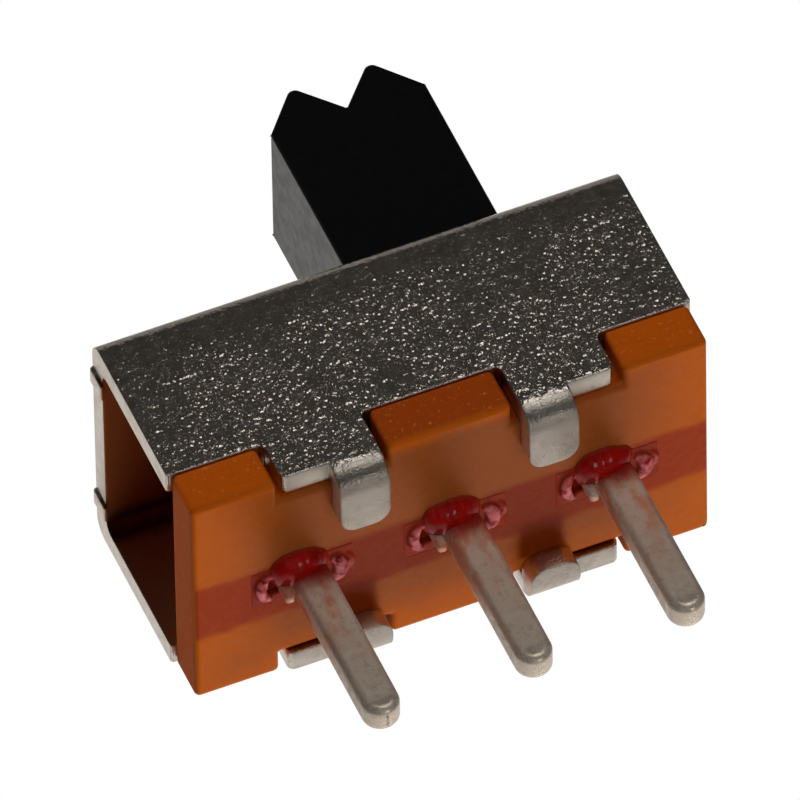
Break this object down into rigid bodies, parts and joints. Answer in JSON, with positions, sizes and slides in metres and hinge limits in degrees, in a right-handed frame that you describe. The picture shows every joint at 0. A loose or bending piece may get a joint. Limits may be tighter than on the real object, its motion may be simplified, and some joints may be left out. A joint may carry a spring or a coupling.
{
  "type": "slide switch",
  "caption": "Miniature slide switch for a printed circuit board: folded metal frame, laminate terminal board, in-line solder pins and a notched plastic knob.",
  "frame": {"origin": "under the middle of the metal frame, in the plane of the circuit board that the switch seats on, which is the outer face of the bent fingers", "axes": "+Z towards the knob, X along the slider's travel and the row of pins, +Y towards the back wall"},
  "size_m": [0.0088, 0.0044, 0.011],
  "materials": {
    "plated_steel": "nickel-plated, grained by the strip it was pressed from",
    "laminate": "satin paper laminate, slightly translucent at the edges",
    "plated_brass": "silver-plated, worn and dull",
    "black_plastic": "satin moulded",
    "spring_bronze": "bright spring sheet",
    "red_lacquer": "glossy, brushed on by hand"
  },
  "bodies": {
    "housing": {"metal_frame": "plated_steel", "terminal_board": "laminate", "terminal_left": "plated_brass", "terminal_centre": "plated_brass", "terminal_right": "plated_brass", "seal_left": "red_lacquer", "seal_centre": "red_lacquer", "seal_right": "red_lacquer"},
    "slider": {"slider": "black_plastic", "contact_clip": "spring_bronze"}
  },
  "joints": [
    {"name": "knob_slide", "type": "slide", "parent": "housing", "child": "slider", "axis": [1, 0, 0], "range_m": [-0.0027, 0]}
  ]
}
